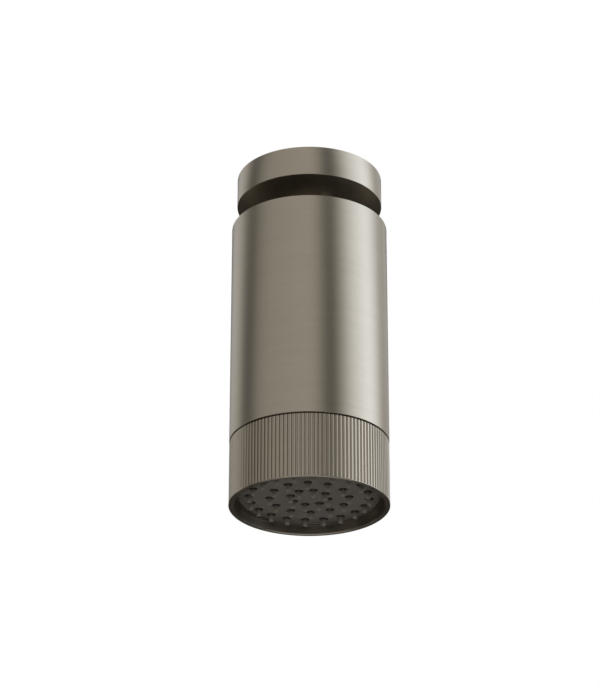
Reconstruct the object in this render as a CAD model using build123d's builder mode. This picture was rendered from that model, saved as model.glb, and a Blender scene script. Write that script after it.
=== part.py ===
from build123d import *
import os
from math import asin, cos, degrees, radians, sin, sqrt, tan

# A ceiling-mounted rain shower head. A round rose covers the ceiling outlet, a ball on the inlet
# stem carries the cylindrical head, and a fluted ring at its lower end holds the spray face.
# Millimetres, +Z up. The origin is the centre of the ceiling plane, on the inlet thread's axis.

os.makedirs("parts", exist_ok=True)

# Clearances
running_gap = 0.05  # ball, liner and sliding bores
thread_gap = 0.08  # between a male and a female thread, both modelled as plain cylinders
hand_gap = 0.1  # pieces put together by hand
stop_gap = 0.1  # flat faces that turn or slide against each other

# Ceiling rose, a turned cup
rose_d = 75.0
rose_h = 16.0
rose_wall = 2.0
rose_floor = 2.0
rose_hub_h = 6.0
rose_hub_wall = 3.0
rose_hub_gap = 0.4
edge_break = 0.4

# Ball stem with a G 1/2 thread, turned from brass bar
inlet_thread_d = 20.955
inlet_thread_above = 12.0
inlet_thread_below = 5.0
thread_lead_in = 1.2
shank_d = 20.0
hex_af = 22.0
hex_h = 5.0
hex_drop = 0.3
neck_d = 14.0
ball_d = 24.0
stem_bore_d = 7.5
ball_outlet_land = 0.3
strainer_pocket_d = 15.2
strainer_pocket_depth = 8.0

# Strainer in the mouth of the inlet
strainer_h = 3.0
strainer_web = 1.2
strainer_rim = 1.4
strainer_hole_d = 1.6
strainer_hole_counts = (1, 6, 12)
strainer_row_pitch = 2.3

# Head shell and its ball joint
head_d = 80.0
head_gap = 13.5
shell_len = 119.5
shell_wall = 2.5
crown_t = 4.0
ball_drop = 14.0
tilt_limit = 15.0
neck_margin = 0.6
liner_t = 0.95
liner_lower_angle = 108.0
seat_od = 33.8
boss_wall = 3.5
boss_depth = 29.5
seal_angles = (129.0, 143.0)
seal_pocket_angle = 125.0
seal_pocket_floor = 12.3

# Ball socket with its outlet spigot
socket_flange_af = 36.0
socket_flange_t = 4.3
socket_flange_drop = 0.2
socket_bore_d = 12.0
regulator_shoulder = 17.0
spigot_end = 33.0
spigot_wall = 2.6

# Flow regulator and down tube
water_bore_d = 16.8
regulator_t = 6.0
regulator_hole_d = 2.2
regulator_hole_count = 8
regulator_hole_pcd = 8.4
regulator_core_d = 4.0
regulator_core_h = 1.5
tube_od = 14.0
tube_wall = 1.0
tube_collar_len = 8.0
tube_end_gap = 0.2

# O-rings: cord diameters, and how much wider than the cord each groove is
small_cord_d = 1.4
regulator_cord_d = 1.2
rose_cord_d = 1.6
groove_extra = 0.5

# Threaded ring brazed into the shell's lower end
thread_step = 0.5
thread_ring_wall = 2.5
thread_ring_in_shell = 10.0
ring_thread_len = 7.0

# Fluted ring, a bored brass collar with milled flutes
parting_gap = 0.5
ring_h = 33.5
lip_h = 0.6
flute_count = 120
flute_depth = 0.8
flute_top_w = 1.05
flute_root_w = 0.7
crest_set_back = 0.1
rim_wall = 2.5
rim_recess = 5.0
ledge_t = 1.2
ledge_w = 2.3

# Spray plate, nozzle mat and chamber
plate_t = 3.0
washer_t = 0.4
cartridge_gap = 0.3
nozzle_counts = (8, 12, 20)
nozzle_phases = (12.5, 28.0, 4.0)
inner_row_r = 9.4
nozzle_edge = 5.2
plate_hole_d = 4.3
plate_hole_break = 0.3
mat_t = 1.5
mat_edge = 0.5
nozzle_root_d = 3.5
nozzle_face_d = 2.9
nozzle_tip_d = 2.1
nozzle_out = 3.5
nozzle_bore_d = 1.1
cover_flange_t = 3.0
cover_wall = 1.8
chamber_edge = 1.1
chamber_step_w = 2.9
chamber_step_h = 2.5
dome_h = 5.5
dome_t = 2.2
dome_wall = 2.3
socket_depth = 16.0
socket_wall = 2.6
rib_count = 10
rib_t = 1.6
rib_h = 4.0
screw_count = 5
screw_edge = 2.1
screw_d = 2.0
screw_tip_cover = 0.7
screw_head_d = 3.6
screw_head_h = 1.5
screw_slot_w = 0.6
screw_slot_depth = 0.6

# Diffuser plate in the chamber
diffuser_t = 1.2
diffuser_hole_d = 2.4
diffuser_hole_counts = (6, 12, 18)
diffuser_peg_count = 4
diffuser_peg_d = 2.4

# Radii that follow
rose_r = rose_d / 2
head_r = head_d / 2
shank_r = shank_d / 2
neck_r = neck_d / 2
ball_r = ball_d / 2
stem_bore_r = stem_bore_d / 2
liner_inner_r = ball_r + running_gap
liner_outer_r = liner_inner_r + liner_t
seat_r = liner_outer_r + running_gap
seal_r = ball_r + running_gap
seat_outer_r = seat_od / 2
boss_inner_r = seat_outer_r + hand_gap
boss_outer_r = boss_inner_r + boss_wall
water_bore_r = water_bore_d / 2
tube_collar_r = water_bore_r - hand_gap
spigot_r = water_bore_r + spigot_wall
shell_inner_r = head_r - shell_wall
crest_r = head_r - crest_set_back
thread_ring_r = shell_inner_r - thread_step
thread_ring_bore_r = thread_ring_r - thread_ring_wall
ring_bore_r = thread_ring_r + thread_gap
rim_bore_r = head_r - rim_wall
ledge_bore_r = rim_bore_r - ledge_w
plate_r = ledge_bore_r - 2 * hand_gap
plate_flange_r = ring_bore_r - cartridge_gap
mat_r = plate_r - mat_edge
hub_bore_r = shank_r + rose_hub_gap
outer_row_r = plate_r - nozzle_edge
nozzle_row_pitch = (outer_row_r - inner_row_r) / 2
nozzle_radii = [inner_row_r + row * nozzle_row_pitch for row in (0, 1, 2)]
nozzle_rows = list(zip(nozzle_counts, nozzle_radii, nozzle_phases))
chamber_r = outer_row_r + chamber_edge
chamber_step_r = chamber_r - chamber_step_w
screw_pcr = plate_r - screw_edge

# Heights that follow
head_top = -rose_h - head_gap
ball_z = head_top - ball_drop
shell_bottom = head_top - shell_len
ring_top = shell_bottom - parting_gap
rim_z = ring_top - ring_h
face_z = rim_z + rim_recess
ledge_top = face_z + ledge_t
flange_under = ledge_top + stop_gap + washer_t
plate_back = face_z + plate_t
mat_back = plate_back + mat_t
cover_flange_top = mat_back + cover_flange_t
chamber_step_z = mat_back + chamber_step_h
dome_top = cover_flange_top + dome_h
chamber_roof = dome_top - dome_t
thread_ring_end = shell_bottom - ring_thread_len
cover_top = thread_ring_end - cartridge_gap
seat_shoulder = ball_drop - crown_t
regulator_top = ball_z - regulator_shoulder
tube_top = regulator_top - regulator_t - tube_end_gap
tube_bottom = dome_top + cartridge_gap

# The screws stand midway between nozzles of the outer row, the diffuser's pegs between those of
# the middle row
screw_phase = nozzle_phases[2] + 180 / nozzle_counts[2]
peg_phase = nozzle_phases[1] + 180 / nozzle_counts[1]

# The seat's lip is cut back just far enough for the neck at full tilt
throat_angle = tilt_limit + degrees(asin((neck_r + neck_margin) / seat_r))
liner_upper_angle = throat_angle + tilt_limit


def neck_reach(height):
    """Radius that the tilted neck reaches, at a height above the ball's centre."""
    return height * tan(radians(tilt_limit)) + neck_r / cos(radians(tilt_limit))


def on_ball(radius, angle):
    """Point on a sphere about the ball's centre, at an angle from straight up."""
    return (radius * sin(radians(angle)), ball_z + radius * cos(radians(angle)))


def arc_on_ball(radius, first, last):
    """Arc about the ball's centre between two angles, for use in a BuildLine block."""
    middle = (first + last) / 2
    return ThreePointArc(on_ball(radius, first), on_ball(radius, middle), on_ball(radius, last))


def cord_centre_r(outer_r, cord_d):
    """Mean radius of an O-ring whose outside stands at a given radius."""
    return outer_r - cord_d / 2


def make_o_ring(label, outer_r, cord_d, height):
    """Rubber O-ring, uncompressed, with its outside at outer_r."""
    with BuildPart() as o_ring:
        with BuildSketch(Plane.XZ):
            with Locations((cord_centre_r(outer_r, cord_d), height)):
                Circle(cord_d / 2)
        revolve(axis=Axis.Z)
    o_ring.part.label = label
    export_step(o_ring.part, f"parts/{label}.step")


def o_ring_groove(outer_r, cord_d, height):
    """Half section of an O-ring groove, to be cut out by a revolve."""
    with BuildSketch(Plane.XZ) as groove:
        with Locations((outer_r, height)):
            Rectangle(2 * cord_d, cord_d + groove_extra)
    return groove.sketch


# Ceiling rose: a turned cup with a hub that slides over the stem's shank
with BuildPart() as ceiling_rose:
    with BuildSketch(Plane.XZ):
        with BuildLine():
            Polyline(
                (hub_bore_r, -rose_h),
                (rose_r - edge_break, -rose_h),
                (rose_r, -rose_h + edge_break),
                (rose_r, 0),
                (rose_r - rose_wall, 0),
                (rose_r - rose_wall, -rose_h + rose_floor),
                (hub_bore_r + rose_hub_wall, -rose_h + rose_floor),
                (hub_bore_r + rose_hub_wall, -rose_h + rose_hub_h),
                (hub_bore_r, -rose_h + rose_hub_h),
                close=True,
            )
        make_face()
    revolve(axis=Axis.Z)
ceiling_rose.part.label = "ceiling_rose"
export_step(ceiling_rose.part, "parts/ceiling_rose.step")

# Ball stem: inlet thread, shank, spanner hexagon, neck and ball in one turned piece
rose_cord_z = -rose_h + rose_hub_h / 2
rose_cord_r = hub_bore_r - running_gap
ball_flat = sqrt(ball_r**2 - (stem_bore_r + ball_outlet_land) ** 2)
hex_top = -rose_h - hex_drop
inlet_thread_r = inlet_thread_d / 2
with BuildPart() as ball_stem:
    with BuildSketch(Plane.XY.offset(-inlet_thread_below)):
        Circle(inlet_thread_r)
    extrude(amount=inlet_thread_below + inlet_thread_above)
    chamfer(ball_stem.edges().group_by(Axis.Z)[-1], length=thread_lead_in)
    with BuildSketch(Plane.XY.offset(hex_top)):
        Circle(shank_r)
    extrude(amount=-inlet_thread_below - hex_top)
    revolve(o_ring_groove(rose_cord_r, rose_cord_d, rose_cord_z), axis=Axis.Z, mode=Mode.SUBTRACT)
    with BuildSketch(Plane.XY.offset(hex_top - hex_h)):
        RegularPolygon(hex_af / 2, 6, major_radius=False)
    extrude(amount=hex_h)
    with BuildSketch(Plane.XY.offset(ball_z)):
        Circle(neck_r)
    extrude(amount=hex_top - hex_h - ball_z)
    with BuildSketch(Plane.XZ):
        with BuildLine():
            CenterArc((0, ball_z), ball_r, -90, 180)
            Line((0, ball_z + ball_r), (0, ball_z - ball_r))
        make_face()
    revolve(axis=Axis.Z)
    split(bisect_by=Plane.XY.offset(ball_z - ball_flat), keep=Keep.TOP)
    with BuildSketch(Plane.XY.offset(ball_z - ball_flat)):
        Circle(stem_bore_r)
    extrude(amount=inlet_thread_above - ball_z + ball_flat, mode=Mode.SUBTRACT)
    with BuildSketch(Plane.XY.offset(inlet_thread_above)):
        Circle(strainer_pocket_d / 2)
    extrude(amount=-strainer_pocket_depth, mode=Mode.SUBTRACT)
ball_stem.part.label = "ball_stem"
export_step(ball_stem.part, "parts/ball_stem.step")

make_o_ring("rose_o_ring", rose_cord_r, rose_cord_d, rose_cord_z)

# Inlet strainer: a moulded dish of small holes on the floor of the stem's pocket
strainer_z = inlet_thread_above - strainer_pocket_depth
strainer_r = strainer_pocket_d / 2 - hand_gap
with BuildPart() as inlet_strainer:
    with BuildSketch(Plane.XY.offset(strainer_z)):
        Circle(strainer_r)
    extrude(amount=strainer_h)
    with BuildSketch(Plane.XY.offset(strainer_z + strainer_web)):
        Circle(strainer_r - strainer_rim)
    extrude(amount=strainer_h - strainer_web, mode=Mode.SUBTRACT)
    with BuildSketch(Plane.XY.offset(strainer_z)):
        for row, count in enumerate(strainer_hole_counts):
            with PolarLocations(row * strainer_row_pitch, count):
                Circle(strainer_hole_d / 2)
    extrude(amount=strainer_web, mode=Mode.SUBTRACT)
inlet_strainer.part.label = "inlet_strainer"
export_step(inlet_strainer.part, "parts/inlet_strainer.step")

# Ball liner: a thin PTFE band round the ball, which turns on it and lets the head tilt over it
with BuildPart() as ball_liner:
    with BuildSketch(Plane.XZ):
        with BuildLine():
            arc_on_ball(liner_outer_r, liner_upper_angle, liner_lower_angle)
            Line(on_ball(liner_outer_r, liner_lower_angle), on_ball(liner_inner_r, liner_lower_angle))
            arc_on_ball(liner_inner_r, liner_lower_angle, liner_upper_angle)
            Line(on_ball(liner_inner_r, liner_upper_angle), on_ball(liner_outer_r, liner_upper_angle))
        make_face()
    revolve(axis=Axis.Z)
ball_liner.part.label = "ball_liner"
export_step(ball_liner.part, "parts/ball_liner.step")

# Body shell: a turned tube closed by a crown, with the threaded boss of the ball joint inside
crown_opening_r = neck_reach(ball_drop) + neck_margin
with BuildPart() as body_shell:
    with BuildSketch(Plane.XZ):
        with BuildLine():
            Polyline(
                (crown_opening_r, head_top - crown_t),
                (crown_opening_r, head_top - edge_break),
                (crown_opening_r + edge_break, head_top),
                (head_r - edge_break, head_top),
                (head_r, head_top - edge_break),
                (head_r, shell_bottom),
                (shell_inner_r, shell_bottom),
                (shell_inner_r, head_top - crown_t),
                (boss_outer_r, head_top - crown_t),
                (boss_outer_r, head_top - boss_depth),
                (boss_inner_r, head_top - boss_depth),
                (boss_inner_r, head_top - crown_t),
                close=True,
            )
        make_face()
    revolve(axis=Axis.Z)
body_shell.part.label = "body_shell"
export_step(body_shell.part, "parts/body_shell.step")

# Upper seat: an acetal ring between the crown and the liner
seat_flare_r = neck_reach(seat_shoulder) + neck_margin
with BuildPart() as upper_seat:
    with BuildSketch(Plane.XZ):
        with BuildLine():
            arc_on_ball(seat_r, 90, throat_angle)
            Polyline(
                on_ball(seat_r, throat_angle),
                (seat_flare_r, ball_z + seat_shoulder),
                (seat_outer_r, ball_z + seat_shoulder),
                (seat_outer_r, ball_z),
                (seat_r, ball_z),
            )
        make_face()
    revolve(axis=Axis.Z)
upper_seat.part.label = "upper_seat"
export_step(upper_seat.part, "parts/upper_seat.step")

# Ball socket: a brass cup screwed up into the boss, with a spanner flange and a spigot
flange_top = head_top - boss_depth - socket_flange_drop
flange_bottom = flange_top - socket_flange_t
spigot_bottom = ball_z - spigot_end
seal_floor = ball_z - seal_pocket_floor
seal_pocket_r = on_ball(seat_r, seal_pocket_angle)[0]
with BuildPart() as ball_socket:
    with BuildSketch(Plane.XZ):
        with BuildLine():
            arc_on_ball(seat_r, 90, seal_pocket_angle)
            Polyline(
                on_ball(seat_r, seal_pocket_angle),
                (seal_pocket_r, seal_floor),
                (socket_bore_d / 2, seal_floor),
                (socket_bore_d / 2, regulator_top),
                (water_bore_r, regulator_top),
                (water_bore_r, spigot_bottom),
                (spigot_r, spigot_bottom),
                (spigot_r, flange_bottom),
                (seat_outer_r, flange_bottom),
                (seat_outer_r, ball_z),
                (seat_r, ball_z),
            )
        make_face()
    revolve(axis=Axis.Z)
    with BuildSketch(Plane.XY.offset(flange_bottom)):
        RegularPolygon(socket_flange_af / 2, 6, major_radius=False)
        Circle(spigot_r, mode=Mode.SUBTRACT)
    extrude(amount=socket_flange_t)
ball_socket.part.label = "ball_socket"
export_step(ball_socket.part, "parts/ball_socket.step")

# Ball seal: a moulded rubber ring that wipes the ball below the liner
seal_outer_r = seal_pocket_r - running_gap
with BuildPart() as ball_seal:
    with BuildSketch(Plane.XZ):
        with BuildLine():
            arc_on_ball(seal_r, seal_angles[0], seal_angles[1])
            Polyline(
                on_ball(seal_r, seal_angles[1]),
                (on_ball(seal_r, seal_angles[1])[0], seal_floor),
                (seal_outer_r, seal_floor),
                (seal_outer_r, on_ball(seal_r, seal_angles[0])[1]),
                on_ball(seal_r, seal_angles[0]),
            )
        make_face()
    revolve(axis=Axis.Z)
ball_seal.part.label = "ball_seal"
export_step(ball_seal.part, "parts/ball_seal.step")

# Flow regulator: a moulded disc of orifices round a core, held against the socket's shoulder
regulator_bottom = regulator_top - regulator_t
regulator_cord_z = regulator_top - regulator_t / 2
cord_r = water_bore_r - running_gap
with BuildPart() as flow_regulator:
    with BuildSketch(Plane.XY.offset(regulator_bottom)):
        Circle(tube_collar_r)
        with PolarLocations(regulator_hole_pcd / 2, regulator_hole_count):
            Circle(regulator_hole_d / 2, mode=Mode.SUBTRACT)
    extrude(amount=regulator_t)
    with BuildSketch(Plane.XY.offset(regulator_top)):
        Circle(regulator_core_d / 2)
    extrude(amount=regulator_core_h)
    revolve(o_ring_groove(cord_r, regulator_cord_d, regulator_cord_z), axis=Axis.Z, mode=Mode.SUBTRACT)
flow_regulator.part.label = "flow_regulator"
export_step(flow_regulator.part, "parts/flow_regulator.step")

make_o_ring("regulator_o_ring", cord_r, regulator_cord_d, regulator_cord_z)

# Down tube: carries the water from the socket to the spray chamber, with a grooved collar each end
upper_cord_z = tube_top - tube_collar_len / 2
lower_cord_z = tube_bottom + tube_collar_len / 2
with BuildPart() as down_tube:
    with BuildSketch(Plane.XY.offset(tube_bottom)):
        Circle(tube_od / 2)
    extrude(amount=tube_top - tube_bottom)
    with BuildSketch(Plane.XY.offset(tube_bottom), Plane.XY.offset(tube_top - tube_collar_len)):
        Circle(tube_collar_r)
    extrude(amount=tube_collar_len)
    revolve(o_ring_groove(cord_r, small_cord_d, upper_cord_z), axis=Axis.Z, mode=Mode.SUBTRACT)
    revolve(o_ring_groove(cord_r, small_cord_d, lower_cord_z), axis=Axis.Z, mode=Mode.SUBTRACT)
    with BuildSketch(Plane.XY.offset(tube_bottom)):
        Circle(tube_od / 2 - tube_wall)
    extrude(amount=tube_top - tube_bottom, mode=Mode.SUBTRACT)
down_tube.part.label = "down_tube"
export_step(down_tube.part, "parts/down_tube.step")

make_o_ring("tube_upper_o_ring", cord_r, small_cord_d, upper_cord_z)
make_o_ring("tube_lower_o_ring", cord_r, small_cord_d, lower_cord_z)

# Thread ring: brazed into the shell, with the male thread that the fluted ring screws on to
brazed_r = shell_inner_r - running_gap
with BuildPart() as thread_ring:
    with BuildSketch(Plane.XZ):
        with BuildLine():
            Polyline(
                (thread_ring_bore_r, thread_ring_end),
                (thread_ring_r, thread_ring_end),
                (thread_ring_r, shell_bottom),
                (brazed_r, shell_bottom),
                (brazed_r, shell_bottom + thread_ring_in_shell),
                (thread_ring_bore_r, shell_bottom + thread_ring_in_shell),
                close=True,
            )
        make_face()
    revolve(axis=Axis.Z)
thread_ring.part.label = "thread_ring"
export_step(thread_ring.part, "parts/thread_ring.step")

# Fluted ring: the grip that is unscrewed to clean the spray face, with a narrow lip at its rim
with BuildPart() as fluted_ring:
    with BuildSketch(Plane.XY.offset(rim_z + lip_h)):
        Circle(crest_r)
        with PolarLocations(crest_r, flute_count):
            Polygon(
                (crest_set_back, flute_top_w / 2),
                (-flute_depth, flute_root_w / 2),
                (-flute_depth, -flute_root_w / 2),
                (crest_set_back, -flute_top_w / 2),
                align=None,
                mode=Mode.SUBTRACT,
            )
    extrude(amount=ring_h - lip_h)
    with BuildSketch(Plane.XY.offset(rim_z)):
        Circle(head_r)
    extrude(amount=lip_h)
    with BuildSketch(Plane.XZ):
        with BuildLine():
            Polyline(
                (0, rim_z),
                (rim_bore_r, rim_z),
                (rim_bore_r, face_z),
                (ledge_bore_r, face_z),
                (ledge_bore_r, ledge_top),
                (ring_bore_r, ledge_top),
                (ring_bore_r, ring_top),
                (0, ring_top),
                close=True,
            )
        make_face()
    revolve(axis=Axis.Z, mode=Mode.SUBTRACT)
    chamfer(fluted_ring.edges().filter_by(GeomType.CIRCLE).group_by(Axis.Z)[0], length=edge_break)
fluted_ring.part.label = "fluted_ring"
export_step(fluted_ring.part, "parts/fluted_ring.step")

# Slip washer: a thin acetal ring that keeps the spray plate still while the fluted ring turns
with BuildPart() as slip_washer:
    with BuildSketch(Plane.XY.offset(flange_under - washer_t)):
        Circle(plate_flange_r)
        Circle(plate_r + hand_gap, mode=Mode.SUBTRACT)
    extrude(amount=washer_t)
slip_washer.part.label = "slip_washer"
export_step(slip_washer.part, "parts/slip_washer.step")

# Spray plate: a turned disc, flush with the ring's ledge, drilled for the nozzles
with BuildPart() as spray_plate:
    with BuildSketch(Plane.XY.offset(face_z)):
        Circle(plate_r)
    extrude(amount=plate_t)
    with BuildSketch(Plane.XY.offset(flange_under)):
        Circle(plate_flange_r)
    extrude(amount=plate_back - flange_under)
    with BuildSketch(Plane.XY.offset(face_z)):
        for count, radius, phase in nozzle_rows:
            with PolarLocations(radius, count, start_angle=phase):
                Circle(plate_hole_d / 2)
    extrude(amount=plate_t, mode=Mode.SUBTRACT)
    face_edges = spray_plate.edges().filter_by(GeomType.CIRCLE).group_by(Axis.Z)[0]
    chamfer(face_edges.filter_by(lambda edge: edge.radius < plate_hole_d), length=plate_hole_break)
    with BuildSketch(Plane.XY.offset(face_z + screw_tip_cover)):
        with PolarLocations(screw_pcr, screw_count, start_angle=screw_phase):
            Circle(screw_d / 2)
    extrude(amount=plate_t - screw_tip_cover, mode=Mode.SUBTRACT)
spray_plate.part.label = "spray_plate"
export_step(spray_plate.part, "parts/spray_plate.step")

# One nozzle of the mat, a tapered silicone spout
with BuildPart() as nozzle:
    with BuildSketch(Plane.XZ):
        with BuildLine():
            Polyline(
                (0, mat_back),
                (nozzle_root_d / 2, mat_back),
                (nozzle_root_d / 2, plate_back),
                (nozzle_face_d / 2, face_z),
                (nozzle_tip_d / 2, face_z - nozzle_out),
                (0, face_z - nozzle_out),
                close=True,
            )
        make_face()
    revolve(axis=Axis.Z)

# Nozzle mat: a silicone sheet moulded in one piece with its nozzles, clamped all round as a gasket
with BuildPart() as nozzle_mat:
    with BuildSketch(Plane.XY.offset(plate_back)):
        Circle(mat_r)
        with PolarLocations(screw_pcr, screw_count, start_angle=screw_phase):
            Circle(screw_d / 2 + hand_gap, mode=Mode.SUBTRACT)
    extrude(amount=mat_t)
    for count, radius, phase in nozzle_rows:
        with PolarLocations(radius, count, start_angle=phase):
            add(nozzle.part)
    with BuildSketch(Plane.XY.offset(face_z - nozzle_out)):
        for count, radius, phase in nozzle_rows:
            with PolarLocations(radius, count, start_angle=phase):
                Circle(nozzle_bore_d / 2)
    extrude(amount=mat_back - face_z + nozzle_out, mode=Mode.SUBTRACT)
nozzle_mat.part.label = "nozzle_mat"
export_step(nozzle_mat.part, "parts/nozzle_mat.step")

# Chamber cover: a moulded dome with a clamping flange, a skirt up to the thread ring and a
# socket in which the down tube slides
dome_r = chamber_step_r + dome_wall
cover_r = plate_flange_r
skirt_inner_r = cover_r - cover_wall
socket_r = water_bore_r + socket_wall
socket_top = dome_top + socket_depth
with BuildPart() as chamber_cover:
    with BuildSketch(Plane.XZ):
        with BuildLine():
            Polyline(
                (tube_od / 2 - tube_wall, chamber_roof),
                (chamber_step_r, chamber_roof),
                (chamber_step_r, chamber_step_z),
                (chamber_r, chamber_step_z),
                (chamber_r, mat_back),
                (mat_r + hand_gap, mat_back),
                (mat_r + hand_gap, plate_back),
                (cover_r, plate_back),
                (cover_r, cover_top),
                (skirt_inner_r, cover_top),
                (skirt_inner_r, cover_flange_top),
                (dome_r, cover_flange_top),
                (dome_r, dome_top),
                (socket_r, dome_top),
                (socket_r, socket_top),
                (water_bore_r, socket_top),
                (water_bore_r, dome_top),
                (tube_od / 2 - tube_wall, dome_top),
                close=True,
            )
        make_face()
    revolve(axis=Axis.Z)
    with BuildSketch(Plane.XY.offset(dome_top)):
        rib_len = dome_r - socket_r
        with PolarLocations(socket_r + rib_len / 2, rib_count, start_angle=screw_phase):
            Rectangle(rib_len + rib_t, rib_t)
        Circle(dome_r, mode=Mode.INTERSECT)
    extrude(amount=rib_h)
    with BuildSketch(Plane.XY.offset(mat_back)):
        with PolarLocations(screw_pcr, screw_count, start_angle=screw_phase):
            Circle(screw_d / 2 + hand_gap)
    extrude(amount=cover_flange_t, mode=Mode.SUBTRACT)
chamber_cover.part.label = "chamber_cover"
export_step(chamber_cover.part, "parts/chamber_cover.step")

# Diffuser plate: a perforated disc under the chamber's step, standing on the mat on pegs
diffuser_top = chamber_step_z
with BuildPart() as diffuser_plate:
    with BuildSketch(Plane.XY.offset(diffuser_top - diffuser_t)):
        Circle(chamber_r - 2 * hand_gap)
        for count, nozzle_r in zip(diffuser_hole_counts, nozzle_radii):
            with PolarLocations(nozzle_r - nozzle_row_pitch / 2, count):
                Circle(diffuser_hole_d / 2, mode=Mode.SUBTRACT)
    extrude(amount=diffuser_t)
    with BuildSketch(Plane.XY.offset(mat_back)):
        with PolarLocations(nozzle_radii[1], diffuser_peg_count, start_angle=peg_phase):
            Circle(diffuser_peg_d / 2)
    extrude(amount=diffuser_top - diffuser_t - mat_back)
diffuser_plate.part.label = "diffuser_plate"
export_step(diffuser_plate.part, "parts/diffuser_plate.step")

# Cover screws: slotted steel screws that clamp the cover and the mat to the spray plate
screw_bottom = face_z + screw_tip_cover + hand_gap
with BuildPart() as cover_screws:
    with BuildSketch(Plane.XY.offset(screw_bottom)):
        with PolarLocations(screw_pcr, screw_count, start_angle=screw_phase):
            Circle(screw_d / 2 - hand_gap / 2)
    extrude(amount=cover_flange_top - screw_bottom)
    with BuildSketch(Plane.XY.offset(cover_flange_top)):
        with PolarLocations(screw_pcr, screw_count, start_angle=screw_phase):
            Circle(screw_head_d / 2)
    extrude(amount=screw_head_h)
    with BuildSketch(Plane.XY.offset(cover_flange_top + screw_head_h)):
        with PolarLocations(screw_pcr, screw_count, start_angle=screw_phase):
            Rectangle(screw_head_d, screw_slot_w)
    extrude(amount=-screw_slot_depth, mode=Mode.SUBTRACT)
cover_screws.part.label = "cover_screws"
export_step(cover_screws.part, "parts/cover_screws.step")
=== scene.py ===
from math import atan2, ceil, cos, pi, radians, sin

import bmesh
import bpy
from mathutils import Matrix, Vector


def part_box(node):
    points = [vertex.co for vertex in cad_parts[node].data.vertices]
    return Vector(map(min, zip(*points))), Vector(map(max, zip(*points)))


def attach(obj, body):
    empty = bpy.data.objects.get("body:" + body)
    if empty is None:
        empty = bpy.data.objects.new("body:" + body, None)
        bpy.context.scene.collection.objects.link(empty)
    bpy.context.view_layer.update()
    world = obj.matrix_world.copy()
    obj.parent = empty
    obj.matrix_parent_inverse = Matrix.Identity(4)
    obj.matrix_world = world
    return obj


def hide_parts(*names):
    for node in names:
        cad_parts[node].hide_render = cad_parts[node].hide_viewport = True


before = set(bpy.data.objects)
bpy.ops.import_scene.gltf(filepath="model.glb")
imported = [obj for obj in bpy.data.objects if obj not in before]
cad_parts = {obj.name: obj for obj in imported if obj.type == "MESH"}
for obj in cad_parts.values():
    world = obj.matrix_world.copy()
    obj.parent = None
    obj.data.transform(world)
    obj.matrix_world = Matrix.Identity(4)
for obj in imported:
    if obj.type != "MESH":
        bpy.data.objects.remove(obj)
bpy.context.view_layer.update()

# Ceiling rose: a cup turned from brass bar, brushed round on the lathe and plated in warm nickel.
# It slides over the stem's shank, where an O-ring holds it by friction, and closes on the ceiling.

MM = 0.001
real_edge = radians(32)


class Signal:
    """A socket in a node tree. Arithmetic on it adds Math nodes. One without a socket only starts
    other nodes."""

    def __init__(self, tree, socket=None):
        self.tree = tree
        self.socket = socket

    def feed(self, target):
        self.tree.links.new(self.socket, target)

    def node(self, kind, settings, inputs, output=0):
        """Adds a node, sets it up first, then fills its sockets, and gives one of its outputs."""
        made = self.tree.nodes.new(kind)
        for name, setting in settings.items():
            if name == "stops":
                ramp = made.color_ramp.elements
                while len(ramp) < len(setting):
                    ramp.new(1.0)
                for index, (place, colour) in enumerate(setting):
                    ramp[index].position = place
                    ramp[index].color = (*colour, 1)
            else:
                setattr(made, name, setting)
        for name, value in inputs.items():
            if isinstance(value, Signal):
                value.feed(made.inputs[name])
            else:
                made.inputs[name].default_value = value
        return Signal(self.tree, made.outputs[output])

    def maths(self, operation, first, second):
        return self.node("ShaderNodeMath", {"operation": operation}, {0: first, 1: second})

    def __add__(self, other):
        return self.maths("ADD", self, other)

    def __radd__(self, other):
        return self.maths("ADD", other, self)

    def __sub__(self, other):
        return self.maths("SUBTRACT", self, other)

    def __rsub__(self, other):
        return self.maths("SUBTRACT", other, self)

    def __mul__(self, other):
        return self.maths("MULTIPLY", self, other)

    def __rmul__(self, other):
        return self.maths("MULTIPLY", other, self)

    def __truediv__(self, other):
        return self.maths("DIVIDE", self, other)

    def __rtruediv__(self, other):
        return self.maths("DIVIDE", other, self)

    def __pow__(self, other):
        return self.maths("POWER", self, other)

    def __rpow__(self, other):
        return self.maths("POWER", other, self)

    def clamped(self):
        """The same between 0 and 1."""
        return self.node("ShaderNodeClamp", {}, {"Value": self})

    def axis(self, name):
        return self.node("ShaderNodeSeparateXYZ", {}, {"Vector": self}, output=name)

    def vector(self, x, y, z):
        return self.node("ShaderNodeCombineXYZ", {}, {"X": x, "Y": y, "Z": z})

    def noise(self, scale, detail=2.0):
        inputs = {"Vector": self, "Scale": scale, "Detail": detail}
        return self.node("ShaderNodeTexNoise", {}, inputs)

    def between(self, low, high):
        """A colour between two, by this signal from 0 to 1. A Mix node's sockets 6 and 7 are the two
        colours, and its output 2 is the mixed one."""
        ends = [end if isinstance(end, Signal) else (*end, 1) for end in (low, high)]
        inputs = {"Factor": self, 6: ends[0], 7: ends[1]}
        return self.node("ShaderNodeMix", {"data_type": "RGBA"}, inputs, output=2)

    def bump(self, strength, depth):
        inputs = {"Height": self, "Strength": strength, "Distance": depth}
        return self.node("ShaderNodeBump", {}, inputs)


def surface_place(tree):
    """Where a surface point is, in its piece's own frame."""
    return Signal(tree).node("ShaderNodeTexCoord", {}, {}, output="Object")


def finish(name, **fixed):
    """New material: its shader, with the fixed values set, and the place of a surface point."""
    material = bpy.data.materials.new(name)
    material.use_nodes = True
    shader = material.node_tree.nodes["Principled BSDF"]
    for socket, value in fixed.items():
        shader.inputs[socket.replace("_", " ")].default_value = value
    return material, shader, surface_place(material.node_tree)


def shades(colour, dark, light):
    """The same colour a little darker and a little lighter."""
    return tuple(channel * dark for channel in colour), tuple(channel * light for channel in colour)


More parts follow.
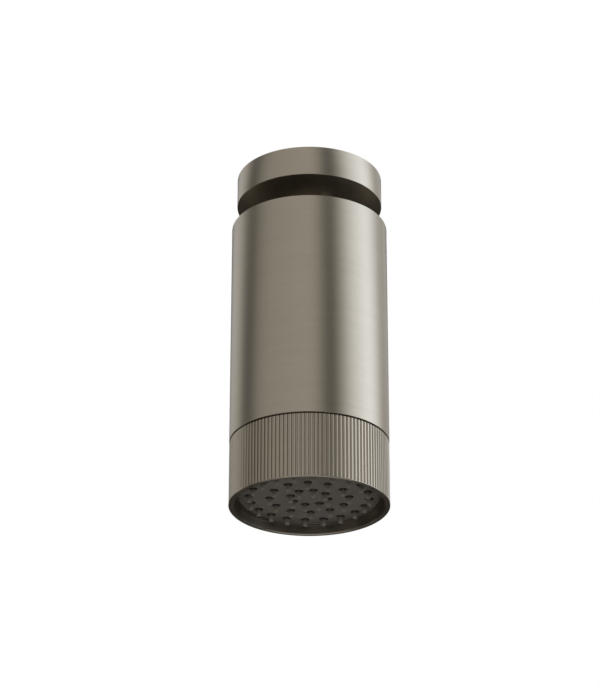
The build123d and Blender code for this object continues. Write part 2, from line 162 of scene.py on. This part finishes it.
def off_axis(place, least=0.1 * MM):
    """A surface point's distance from the lathe's axis, never quite nothing."""
    x = place.axis("X")
    y = place.axis("Y")
    return (x * x + y * y) ** 0.5 + least


def lathe_streaks(place, length, width, wall_r=40 * MM):
    """Streaks left round the axis by brushing on a lathe, on walls and flat faces alike. Their
    length is measured on a wall of radius wall_r."""
    radius = off_axis(place)
    turn = wall_r / length
    across = (place.axis("Z") + radius) / width
    around = place.vector(place.axis("X") / radius * turn, place.axis("Y") / radius * turn, across)
    return around.noise(1.0, detail=3.0)


def lathed(name, colour, rough, spread, grain, recess_shade_bore=0.0):
    """Metal with its marks round the lathe's axis: streaky colour and sheen, and fine bump. Inside
    a given bore's radius the colour is painted darker, as shade in a recess."""
    recess_shade_share = 0.64
    recess_shade_fade = 0.2 * MM
    sheen_spread = 0.05
    material, shader, place = finish(name, Metallic=1.0, Anisotropic=0.6, Anisotropic_Rotation=0.25)
    fine = lathe_streaks(place, 22 * MM, grain)
    broad = lathe_streaks(place, 70 * MM, 9 * grain)
    mixed = fine * 0.6 + broad * 0.4
    tone = mixed.between(*shades(colour, 1 - spread, 1 + spread))
    # Painted shade: inside the bore the colour is darkened, as shade in a recess.
    if recess_shade_bore:
        recess_shade_ends = shades(colour, recess_shade_share * (1 - spread), recess_shade_share * (1 + spread))
        inside = ((recess_shade_bore - off_axis(place)) / recess_shade_fade).clamped()
        tone = inside.between(tone, mixed.between(*recess_shade_ends))
    tone.feed(shader.inputs["Base Color"])
    (rough - sheen_spread / 2 + fine * sheen_spread).feed(shader.inputs["Roughness"])
    fine.bump(0.25, 0.02 * MM).feed(shader.inputs["Normal"])
    return material


def eased(outline, ease, steps=3, most=0.4):
    """Closed (radius, height) outline with a small round at each corner. A round takes no more
    than the share most of either side."""
    made = []
    for index, corner in enumerate(outline):
        corner = Vector(corner)
        ends = []
        for other in (outline[index - 1], outline[(index + 1) % len(outline)]):
            reach = Vector(other) - corner
            ends.append(corner + reach.normalized() * min(ease, most * reach.length))
        for step in range(steps + 1):
            share = step / steps
            made.append(
                ends[0] * (1 - share) ** 2 + corner * 2 * share * (1 - share) + ends[1] * share**2
            )
    return [tuple(point) for point in made]


def settle(piece, body, material, slot, *nodes):
    """Gives a piece its material and its place in the frame."""
    piece.data.materials.clear()
    piece.data.materials.append(material)
    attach(piece, body)
    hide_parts(*nodes)


def new_piece(name, bm):
    """Object from a bmesh, smooth apart from its real edges."""
    bmesh.ops.recalc_face_normals(bm, faces=bm.faces)
    mesh = bpy.data.meshes.new(name)
    bm.to_mesh(mesh)
    bm.free()
    mesh.shade_smooth()
    mesh.set_sharp_from_angle(angle=real_edge)
    piece = bpy.data.objects.new(name, mesh)
    bpy.context.scene.collection.objects.link(piece)
    return piece


def turned(name, outline, angles=None, spokes=288, radius_at=None):
    """Ring-shaped piece: a closed (radius, height) outline turned about the axis. radius_at
    gives the radius where it changes with the angle."""
    angles = angles or [2 * pi * spoke / spokes for spoke in range(spokes)]
    bm = bmesh.new()
    rings = []
    for radius, height in outline:
        ring = []
        for angle in angles:
            reach = radius_at(angle, radius, height) if radius_at else radius
            ring.append(bm.verts.new((reach * cos(angle), reach * sin(angle), height)))
        rings.append(ring)
    for index, ring in enumerate(rings):
        before = rings[index - 1]
        for spoke in range(len(angles)):
            quad = (before[spoke - 1], before[spoke], ring[spoke], ring[spoke - 1])
            bm.faces.new(quad)
    return new_piece(name, bm)


rose_low, rose_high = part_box("ceiling_rose")
rose_r = rose_high.x
rose_wall = 2 * MM
rose_hub_h = 6 * MM
rose_hub_wall = 3 * MM
rose_hub_bore = 10.4 * MM
turned_ease = 0.35 * MM
rose_outline = [
    (rose_hub_bore, rose_low.z),
    (rose_r, rose_low.z),
    (rose_r, rose_high.z),
    (rose_r - rose_wall, rose_high.z),
    (rose_r - rose_wall, rose_low.z + rose_wall),
    (rose_hub_bore + rose_hub_wall, rose_low.z + rose_wall),
    (rose_hub_bore + rose_hub_wall, rose_low.z + rose_hub_h),
    (rose_hub_bore, rose_low.z + rose_hub_h),
]
nickel_shade = (0.400, 0.352, 0.278)
nickel_rough = 0.30
nickel_grain = 0.28 * MM
nickel = lathed("brushed_nickel", nickel_shade, nickel_rough, spread=0.12, grain=nickel_grain)
rose = turned("rose", eased(rose_outline, turned_ease))
settle(rose, "ceiling_side", nickel, "brushed_nickel", "ceiling_rose")

# Body shell: a thick brass tube with its crown, turned in one piece and given the rose's finish.
# The opening in the crown leaves the tilted neck free, and the boss below it is threaded for the
# ball's socket.

shell_low, shell_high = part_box("body_shell")
shell_r = shell_high.x
shell_wall = 2.5 * MM
crown_t = 4 * MM
crown_opening = 11.6 * MM
boss_outer = 20.5 * MM
boss_inner = 17.0 * MM
boss_depth = 29.5 * MM
shell_outline = [
    (crown_opening, shell_high.z),
    (shell_r, shell_high.z),
    (shell_r, shell_low.z),
    (shell_r - shell_wall, shell_low.z),
    (shell_r - shell_wall, shell_high.z - crown_t),
    (boss_outer, shell_high.z - crown_t),
    (boss_outer, shell_high.z - boss_depth),
    (boss_inner, shell_high.z - boss_depth),
    (boss_inner, shell_high.z - crown_t),
    (crown_opening, shell_high.z - crown_t),
]
shell = turned("shell", eased(shell_outline, turned_ease))
settle(shell, "head", nickel, "brushed_nickel", "body_shell")

# Fluted ring: a brass collar with 120 milled flutes and a narrow lip, screwed on below the shell.
# Its inner ledge carries the spray plate, set back from the rim. Inside the rim the nickel is
# painted darker, as shade in the recess.

ring_low, ring_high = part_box("fluted_ring")
flute_count = 120
flute_depth = 0.8 * MM
crest_r = ring_high.x - 0.1 * MM
lip_top = ring_low.z + 0.6 * MM
lip_step = 0.02 * MM
rim_edge = 0.4 * MM
rim_bore = 37.5 * MM
ledge_bore = 35.2 * MM
ledge_low = ring_low.z + 5 * MM
ledge_high = ledge_low + 1.2 * MM
ring_bore = 37.08 * MM
ring_ease = 0.12 * MM
# Painted shade: the nickel inside this radius, the rim's recess, is painted darker.
recess_shade_bore = rim_bore + 0.3 * MM
# Half of a flute's section: (distance from its middle, share of its depth)
flute_section = [
    (0.00 * MM, 1.0),
    (0.23 * MM, 0.96),
    (0.34 * MM, 0.74),
    (0.45 * MM, 0.40),
    (0.54 * MM, 0.14),
    (0.65 * MM, 0.035),
    (0.79 * MM, 0.002),
]
groove_depths = {}
for flute in range(flute_count):
    groove_depths[2 * pi * (flute + 0.5) / flute_count] = 0.0
    for side in (-1, 1):
        for offset, share in flute_section:
            angle = 2 * pi * flute / flute_count + side * offset / crest_r
            groove_depths[angle] = flute_depth * share


def fluted_radius(angle, radius, height):
    """Radius of the ring at an angle: the flutes run down to the lip."""
    if height < lip_top + lip_step / 2:
        return radius
    return min(radius, crest_r - groove_depths[angle])


ring_outline = [
    (rim_bore, ring_low.z + rim_edge),
    (rim_bore + rim_edge, ring_low.z),
    (ring_high.x - rim_edge, ring_low.z),
    (ring_high.x, ring_low.z + rim_edge),
    (ring_high.x, lip_top),
    (crest_r, lip_top + lip_step),
    (crest_r, ring_high.z - rim_edge),
    (crest_r - rim_edge, ring_high.z),
    (ring_bore, ring_high.z),
    (ring_bore, ledge_high),
    (ledge_bore, ledge_high),
    (ledge_bore, ledge_low),
    (rim_bore, ledge_low),
]
ring = turned("ring", eased(ring_outline, ring_ease), sorted(groove_depths), radius_at=fluted_radius)
ring_nickel = lathed("ring_nickel", nickel_shade, nickel_rough, 0.06, nickel_grain, recess_shade_bore)
settle(ring, "collar", ring_nickel, "brushed_nickel", "fluted_ring")

# Spray plate: a brass disc drilled for forty nozzles, bead-blasted matt and then plated. Painted
# shade darkens it towards its edge, in the ring's recess. It sits flush with the ring's ledge.

plate_low, plate_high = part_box("spray_plate")
plate_r = 35.0 * MM
plate_flange_t = 1.3 * MM
plate_ease = 0.15 * MM
plate_hole_r = 2.15 * MM
plate_hole_break = 0.12 * MM
# Painted shade starts at this radius and deepens out to the plate's edge.
edge_shade_from_r = 27 * MM
disc_spokes = 192
hole_spokes = 40
# Rows of nozzles: (how many, distance from the axis, bearing of the first)
nozzle_rows = (
    (8, 9.4 * MM, radians(12.5)),
    (12, 19.6 * MM, radians(28.0)),
    (20, 29.8 * MM, radians(4.0)),
)
nozzle_centres = [
    (reach * cos(phase + 2 * pi * turn / count), reach * sin(phase + 2 * pi * turn / count))
    for count, reach, phase in nozzle_rows
    for turn in range(count)
]


def circle(bm, centre, radius, height, spokes):
    """Closed loop of points, at a height."""
    return [
        bm.verts.new(
            (
                centre[0] + radius * cos(2 * pi * spoke / spokes),
                centre[1] + radius * sin(2 * pi * spoke / spokes),
                height,
            )
        )
        for spoke in range(spokes)
    ]


def tube(bm, centre, outline, spokes):
    """Wall through the (radius, height) points round a centre. Gives its first and last loops."""
    loops = [circle(bm, centre, radius, height, spokes) for radius, height in outline]
    for first, second in zip(loops, loops[1:]):
        for spoke in range(spokes):
            bm.faces.new((first[spoke - 1], first[spoke], second[spoke], second[spoke - 1]))
    return loops[0], loops[-1]


def drilled_face(bm, loops):
    """Flat face between an outer loop and the loops of its holes."""
    edges = []
    for loop in loops:
        for first, second in zip(loop, loop[1:] + loop[:1]):
            edges.append(bm.edges.get((first, second)))
    bmesh.ops.triangle_fill(bm, edges=edges, use_beauty=True)


bm = bmesh.new()
middle = (0.0, 0.0)
plate_edge = [
    (plate_r - plate_ease, plate_low.z),
    (plate_r, plate_low.z + plate_ease),
    (plate_r, plate_high.z - plate_flange_t),
    (plate_high.x, plate_high.z - plate_flange_t),
    (plate_high.x, plate_high.z),
]
hole_outline = [
    (plate_hole_r + plate_hole_break, plate_low.z),
    (plate_hole_r, plate_low.z + plate_hole_break),
    (plate_hole_r, plate_high.z),
]
faced, backed = tube(bm, middle, plate_edge, disc_spokes)
mouths = [tube(bm, centre, hole_outline, hole_spokes) for centre in nozzle_centres]
drilled_face(bm, [faced] + [mouth[0] for mouth in mouths])
drilled_face(bm, [backed] + [mouth[1] for mouth in mouths])
plate = new_piece("spray_face", bm)
blasted, shader, place = finish("blasted_nickel", Metallic=1.0)
beads = place.noise(3200.0, detail=3.0)
cloud = place.noise(90.0, detail=2.0)
tone = beads * 0.4 + cloud * 0.6
full_tone = tone.between((0.26, 0.236, 0.198), (0.375, 0.34, 0.292))
edge_shade_tone = tone.between((0.16, 0.144, 0.12), (0.23, 0.207, 0.174))
# Painted shade: the plate darkens towards its edge, where the ring's recess shades it.
edge_shade_mask = ((off_axis(place) - edge_shade_from_r) / (plate_r - edge_shade_from_r)).clamped()
edge_shade_mask.between(full_tone, edge_shade_tone).feed(shader.inputs["Base Color"])
(0.46 + beads * 0.14).feed(shader.inputs["Roughness"])
beads.bump(0.3, 0.02 * MM).feed(shader.inputs["Normal"])
settle(plate, "cartridge", blasted, "brushed_nickel", "spray_plate")

# Nozzle mat: a sheet of dark silicone moulded in one piece with forty tapered nozzles, painted
# near black at their roots as shade in the holes, lighter towards their tips. They come through
# the plate's holes so that scale can be rubbed off.

mat_low, mat_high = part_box("nozzle_mat")
mat_r = mat_high.x
mat_back = mat_high.z - 1.5 * MM
nozzle_root_r = 1.75 * MM
nozzle_face_r = 1.22 * MM
nozzle_tip_r = 1.0 * MM
nozzle_bore_r = 0.55 * MM
nozzle_round = 0.2 * MM
nozzle_spokes = 32
nozzle_outline = [
    (nozzle_root_r + nozzle_round, mat_back),
    (nozzle_root_r, mat_back - nozzle_round),
    (nozzle_face_r, plate_low.z),
    (nozzle_tip_r, mat_low.z + nozzle_round),
    (nozzle_tip_r - nozzle_round / 3, mat_low.z + nozzle_round / 3),
    (nozzle_tip_r - nozzle_round, mat_low.z),
    (nozzle_bore_r + nozzle_round / 2, mat_low.z),
    (nozzle_bore_r, mat_low.z + nozzle_round / 2),
    (nozzle_bore_r, mat_high.z),
]
bm = bmesh.new()
mat_top, mat_bottom = tube(bm, middle, [(mat_r, mat_high.z), (mat_r, mat_back)], disc_spokes)
spouts = [tube(bm, centre, nozzle_outline, nozzle_spokes) for centre in nozzle_centres]
drilled_face(bm, [mat_bottom] + [spout[0] for spout in spouts])
drilled_face(bm, [mat_top] + [spout[1] for spout in spouts])
mat = new_piece("nozzles", bm)
silicone, shader, place = finish("nozzle_silicone", Specular_IOR_Level=0.35)
cloud = place.noise(900.0, detail=3.0)
# Painted shade: the nozzles are near black at their roots, where the holes shade them, and lighter
# towards their tips. The cloud is the silicone's own mottle.
towards_tip = ((plate_low.z - place.axis("Z")) / (plate_low.z - mat_low.z)).clamped()
bloom_and_root_shade = cloud * 0.15 + towards_tip**0.7 * 0.75
bloom_and_root_shade.between((0.012, 0.011, 0.009), (0.20, 0.175, 0.142)).feed(shader.inputs["Base Color"])
(0.48 + cloud * 0.2).feed(shader.inputs["Roughness"])
cloud.bump(0.3, 0.03 * MM).feed(shader.inputs["Normal"])
settle(mat, "cartridge", silicone, "nozzle_silicone", "nozzle_mat")

# Ball stem: turned from brass bar and plated like the head, its nickel painted darker as shade in
# the gap under the rose. It has a G 1/2 pipe thread, a shank with a groove for the rose's O-ring,
# a spanner hexagon, a neck and the ball that the head hangs and tilts on.

stem_low, stem_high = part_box("ball_stem")
thread_r = 20.955 / 2 * MM
thread_pitch = 1.814 * MM
thread_depth = 1.0 * MM
thread_low = -5 * MM
thread_lead_in = 1.2 * MM
thread_run_out = 0.3 * MM
thread_margin = 0.2 * MM
thread_rows = 120
shank_r = 10 * MM
groove_z = rose_low.z + rose_hub_h / 2
groove_half_h = 1.05 * MM
groove_r = 8.75 * MM
hex_top = rose_low.z - 0.3 * MM
hex_low = hex_top - 5 * MM
hex_flat_r = 11 * MM
hex_corner_r = 12.7 * MM
hex_bevel = 0.6 * MM
hex_bevel_slope = 1.8
hex_face_r = hex_corner_r - hex_bevel * hex_bevel_slope
hex_margin = 0.1 * MM
neck_r = 7 * MM
neck_fillet = 0.5 * MM
ball_r = 12 * MM
ball_z = shell_high.z - 14 * MM
ball_steps = 40
stem_bore_r = 3.75 * MM
stem_bore_ease = 0.3 * MM
pocket_r = 7.6 * MM
pocket_z = 4 * MM


def thread_cut(angle, height, pitch, low, high):
    """Share of a right-hand thread's depth at a point, from 0 on its crest to 1 in its root. It
    runs out at the low end and starts abruptly at the high end."""
    flank_slope = 2.6
    crest_flat = 0.15
    abrupt_start = 0.35
    turn = (height / pitch - angle / (2 * pi)) % 1.0
    tooth = min(1.0, max(0.0, abs(turn - 0.5) * flank_slope - crest_flat))
    ends = min((height - low) / pitch, (high - height) / pitch + abrupt_start)
    return tooth * min(1.0, max(0.0, ends))


def stem_radius(angle, radius, height):
    """Radius of the stem at an angle: its thread and the flats of its hexagon."""
    if radius > shank_r + thread_margin and height > thread_low:
        cut = thread_cut(angle, height, thread_pitch, thread_low, stem_high.z)
        return radius - thread_depth * cut
    if radius > hex_flat_r and hex_low - hex_margin < height < hex_top + hex_margin:
        across = (angle + pi / 6) % (pi / 3) - pi / 6
        return min(radius, hex_flat_r / cos(pi / 6 - abs(across)))
    return radius


thread_step = (stem_high.z - thread_low) / thread_rows
neck_meets_ball = ball_z + (ball_r**2 - neck_r**2) ** 0.5
ball_start = atan2(neck_r, neck_meets_ball - ball_z)
ball_end = pi - atan2(stem_bore_r + stem_bore_ease, ball_z - stem_low.z)
stem_outline = [(pocket_r, stem_high.z)]
for row in range(thread_rows + 1):
    height = stem_high.z - row * thread_step
    lead_in = max(0.0, thread_lead_in - row * thread_step)
    stem_outline.append((thread_r - lead_in, height))
stem_outline += [
    (shank_r, thread_low - thread_run_out),
    (shank_r, groove_z + groove_half_h),
    (groove_r, groove_z + groove_half_h),
    (groove_r, groove_z - groove_half_h),
    (shank_r, groove_z - groove_half_h),
    (shank_r, hex_top),
    (hex_face_r, hex_top),
    (hex_corner_r, hex_top - hex_bevel),
    (hex_corner_r, hex_low + hex_bevel),
    (hex_face_r, hex_low),
    (neck_r + neck_fillet, hex_low),
    (neck_r, hex_low - neck_fillet),
]
for step in range(ball_steps + 1):
    turn = ball_start + (ball_end - ball_start) * step / ball_steps
    stem_outline.append((ball_r * sin(turn), ball_z + ball_r * cos(turn)))
stem_outline += [(stem_bore_r, stem_low.z), (stem_bore_r, pocket_z), (pocket_r, pocket_z)]
stem = turned("stem", stem_outline, spokes=144, radius_at=stem_radius)
# Painted shade: the stem's nickel is darker than the head's, so that the gap under the rose stays
# dark.
stem_shaded_tone = (0.232, 0.204, 0.161)
shaded_stem_nickel = lathed("shaded_stem_nickel", stem_shaded_tone, nickel_rough, spread=0.12, grain=nickel_grain)
settle(stem, "ceiling_side", shaded_stem_nickel, "brushed_nickel", "ball_stem")

# Thread ring: turned from brass tube, left unplated and brazed into the shell's lower end. The
# fluted ring screws onto its thread of 2 mm pitch, which shows once that is unscrewed.

collar_low, collar_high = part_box("thread_ring")
collar_thread_r = 37.0 * MM
collar_bore_r = 34.5 * MM
collar_pitch = 2 * MM
collar_depth = 0.9 * MM
collar_lead_in = 0.6 * MM
collar_shoulder = 0.05 * MM
collar_margin = 0.5 * MM
collar_rows = 42


def collar_radius(angle, radius, height):
    """Radius of the thread ring at an angle."""
    if radius < collar_bore_r + collar_margin or height > shell_low.z:
        return radius
    # Turned over, because this thread starts at its low end and runs out at its high end
    cut = thread_cut(-angle, -height, collar_pitch, -shell_low.z, -collar_low.z)
    return radius - collar_depth * cut


collar_outline = [(collar_bore_r, collar_low.z)]
for row in range(collar_rows + 1):
    height = collar_low.z + (shell_low.z - collar_low.z) * row / collar_rows
    lead_in = max(0.0, collar_lead_in - (height - collar_low.z))
    collar_outline.append((collar_thread_r - lead_in, height))
collar_outline += [
    (collar_high.x, shell_low.z + collar_shoulder),
    (collar_high.x, collar_high.z),
    (collar_bore_r, collar_high.z),
]
brass = lathed("turned_brass", (0.62, 0.47, 0.24), rough=0.24, spread=0.08, grain=0.22 * MM)
collar = turned("threaded_collar", collar_outline, spokes=180, radius_at=collar_radius)
settle(collar, "head", brass, "raw_brass", "thread_ring")

# Ball socket and down tube: turned brass inside the head, left unplated. The socket screws up
# under the ball, and the tube carries the water down to the spray chamber.


def dress(material, *nodes):
    """Gives CAD pieces their material."""
    for node in nodes:
        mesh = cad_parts[node].data
        mesh.materials.clear()
        mesh.materials.append(material)


dress(brass, "ball_socket", "down_tube")

# Seals: moulded EPDM rubber. O-rings lie in the grooves of the stem, the flow regulator and the
# tube's two collars, and the ball seal wipes the ball below its liner.

seal_rubber, shader, place = finish("seal_rubber", Specular_IOR_Level=0.4)
bloom_and_root_shade = place.noise(700.0, detail=4.0)
bloom_and_root_shade.between((0.018, 0.018, 0.019), (0.045, 0.044, 0.043)).feed(shader.inputs["Base Color"])
(0.42 + bloom_and_root_shade * 0.22).feed(shader.inputs["Roughness"])
bloom_and_root_shade.bump(0.2, 0.02 * MM).feed(shader.inputs["Normal"])
dress(seal_rubber, "rose_o_ring", "ball_seal", "regulator_o_ring")
dress(seal_rubber, "tube_upper_o_ring", "tube_lower_o_ring")

# White plastic: the acetal seat, slip washer, flow regulator and strainer, and the PTFE liner that
# the ball turns in. All are held by the pieces round them, without glue or screws.


def machined_plastic(name, colour, rough):
    """White plastic with faint turning marks and a waxy sheen."""
    material, shader, place = finish(name, Subsurface_Weight=0.05, Specular_IOR_Level=0.45)
    marks = lathe_streaks(place, 60 * MM, 0.35 * MM)
    marks.between(*shades(colour, 0.94, 1.03)).feed(shader.inputs["Base Color"])
    (rough + marks * 0.12).feed(shader.inputs["Roughness"])
    marks.bump(0.2, 0.02 * MM).feed(shader.inputs["Normal"])
    return material


acetal = machined_plastic("white_acetal", (0.80, 0.80, 0.77), 0.34)
dress(acetal, "upper_seat", "slip_washer", "flow_regulator", "inlet_strainer")
dress(machined_plastic("ptfe", (0.86, 0.86, 0.86), 0.45), "ball_liner")

# Chamber cover and diffuser: black glass-filled plastic, moulded with a fine spark-eroded grain.
# The cover closes the spray chamber over the mat, and the diffuser spreads the water inside it.

moulding, shader, place = finish("black_moulding", Specular_IOR_Level=0.45)
grain = place.noise(2600.0, detail=3.0)
flow = place.noise(120.0, detail=2.0)
tone = grain * 0.4 + flow * 0.6
tone.between((0.040, 0.040, 0.042), (0.080, 0.079, 0.077)).feed(shader.inputs["Base Color"])
(0.38 + grain * 0.25).feed(shader.inputs["Roughness"])
grain.bump(0.35, 0.03 * MM).feed(shader.inputs["Normal"])
dress(moulding, "chamber_cover", "diffuser_plate")

# Cover screws: five of plain stainless steel, which clamp the cover and the mat to the spray
# plate's back.

screw_steel, shader, place = finish("screw_steel", Metallic=1.0)
wear = place.noise(1500.0, detail=3.0)
wear.between((0.48, 0.48, 0.49), (0.62, 0.62, 0.62)).feed(shader.inputs["Base Color"])
(0.22 + wear * 0.18).feed(shader.inputs["Roughness"])
wear.bump(0.1, 0.01 * MM).feed(shader.inputs["Normal"])
dress(screw_steel, "cover_screws")

# Camera: as in the photograph, below the head and looking up at it from in front. The picture is
# shown with the plain Standard view.

view_middle = Vector((0, 0, (rose_high.z + ring_low.z) / 2))
camera_distance = 1.326
camera_drop = radians(25.48)
camera = bpy.data.objects.new("camera", bpy.data.cameras.new("camera"))
bpy.context.scene.collection.objects.link(camera)
camera.location = view_middle + camera_distance * Vector((0, -cos(camera_drop), -sin(camera_drop)))
camera.rotation_euler = (view_middle - camera.location).to_track_quat("-Z", "Y").to_euler()
camera.data.lens = 136.8
camera.data.shift_x = -0.0136
camera.data.shift_y = -0.0048
bpy.context.scene.camera = camera
bpy.context.scene.view_settings.view_transform = "Standard"

# Floor: a plain pale sheet well below the head, which hangs from a ceiling that isn't shown. Views
# from above look down on it.

floor_z = -1.6
floor_r = 6.0
floor_spokes = 96
bm = bmesh.new()
bm.faces.new(circle(bm, middle, floor_r, floor_z, floor_spokes))
floor = new_piece("floor", bm)
pale, shader, place = finish("pale_floor", Roughness=0.8)
place.noise(1.5).between((0.82, 0.82, 0.82), (0.86, 0.86, 0.86)).feed(shader.inputs["Base Color"])
floor.data.materials.append(pale)

# Light tent: white and grey cloth round the head, with black boards in it, which the metal
# mirrors. They are seen only in reflections. Bearings run from the camera's side to its right.

tent_r = 1.0
tent_low = floor_z + 0.01
tent_high = 2.0
# How bright the cloth is: (bearing in degrees, glow)
tent_glow = [
    (-180, 0.55),
    (-164, 0.40),
    (-137, 0.80),
    (-121, 0.68),
    (-104, 0.20),
    (-92, 0.17),
    (-76, 0.46),
    (-61, 0.56),
    (-20, 0.63),
    (-2, 0.66),
    (10, 0.59),
    (24, 0.21),
    (34, 0.15),
    (46, 0.55),
    (62, 1.25),
    (93, 1.95),
    (108, 1.45),
    (123, 0.68),
    (137, 0.60),
    (164, 0.70),
    (180, 0.55),
]
brightest = 2.5
cool_from = 0.7
cool_over = 0.9
cool_tint = (0.0, 0.11, 0.30)
panel_step = 4


def daylight(glow):
    """The brighter the cloth, the nearer it is to cool daylight."""
    cool = min(1.0, max(0.0, (glow - cool_from) / cool_over))
    return tuple(glow / brightest * (1 + tint * cool) for tint in cool_tint)


def round_panel(name, reach, first, last, low, high, material):
    """Upright panel that follows a circle round the head, between two bearings."""
    bm = bmesh.new()
    steps = ceil((last - first) / panel_step)
    before = None
    for step in range(steps + 1):
        bearing = radians(first + (last - first) * step / steps)
        x = reach * sin(bearing)
        y = -reach * cos(bearing)
        post = (bm.verts.new((x, y, low)), bm.verts.new((x, y, high)))
        if before:
            bm.faces.new((before[0], post[0], post[1], before[1]))
        before = post
    panel = new_piece(name, bm)
    panel.data.materials.append(material)
    panel.visible_camera = False
    panel.visible_diffuse = False
    panel.visible_transmission = False
    panel.visible_shadow = False


def glowing(name):
    """New material that only glows, and its shader."""
    material = bpy.data.materials.new(name)
    material.use_nodes = True
    nodes = material.node_tree.nodes
    nodes.remove(nodes["Principled BSDF"])
    glow = Signal(material.node_tree).node("ShaderNodeEmission", {}, {})
    glow.feed(nodes["Material Output"].inputs["Surface"])
    return material, glow.socket.node


cloth, shader = glowing("tent_cloth")
place = surface_place(cloth.node_tree)
around = place.maths("ARCTAN2", place.axis("X"), 0 - place.axis("Y")) / (2 * pi) + 0.5
stops = [(bearing / 360 + 0.5, daylight(glow)) for bearing, glow in tent_glow]
around.node("ShaderNodeValToRGB", {"stops": stops}, {0: around}).feed(shader.inputs["Color"])
shader.inputs["Strength"].default_value = brightest
round_panel("light_tent", tent_r, -180, 180, tent_low, tent_high, cloth)

board, shader = glowing("black_board")
shader.inputs["Color"].default_value = (0.045, 0.042, 0.038, 1)
# Each board's name, distance, first and last bearing, and low and high edge
for name, reach, first, last, low, high in (
    ("back_board", 0.95, 122, 238, tent_low, 0.05),
    ("tall_board", 0.94, 160, 200, 0.04, 0.70),
    ("low_board", 0.97, -120, 120, tent_low, -0.80),
    ("side_board", 0.96, 45, 119, -0.81, -0.38),
    ("front_board", 0.96, -60, 44, -0.81, -0.45),
):
    round_panel(name, reach, first, last, low, high, board)

# Lamps: a soft window of light on the right and a weaker one on the left. They light what isn't
# metal, and no surface mirrors them.

for name, spot, energy, size in (
    ("right_light", (1.1, -0.35, 0.30), 3.2, 0.8),
    ("left_light", (-0.9, -1.0, 0.10), 1.6, 0.9),
):
    light = bpy.data.lights.new(name, "AREA")
    light.energy = energy
    light.size = size
    lamp = bpy.data.objects.new(name, light)
    lamp.location = spot
    lamp.rotation_euler = (view_middle - lamp.location).to_track_quat("-Z", "Y").to_euler()
    lamp.visible_glossy = False
    bpy.context.scene.collection.objects.link(lamp)

# World: white where the camera, gloss and glass see it, as the photograph's ground is, and a plain
# level where it lights.

plain_level = 0.75
world = bpy.data.worlds.new("studio")
bpy.context.scene.world = world
world.use_nodes = True
camera_ray, glossy_ray, glass_ray = [
    Signal(world.node_tree).node("ShaderNodeLightPath", {}, {}, output=kind)
    for kind in ("Is Camera Ray", "Is Glossy Ray", "Is Transmission Ray")
]
mirrored = glossy_ray.maths("MAXIMUM", glossy_ray, glass_ray)
seen = camera_ray.maths("MAXIMUM", camera_ray, mirrored)
background = world.node_tree.nodes["Background"]
background.inputs["Color"].default_value = (1, 1, 1, 1)
(plain_level + (1 - plain_level) * seen).feed(background.inputs["Strength"])
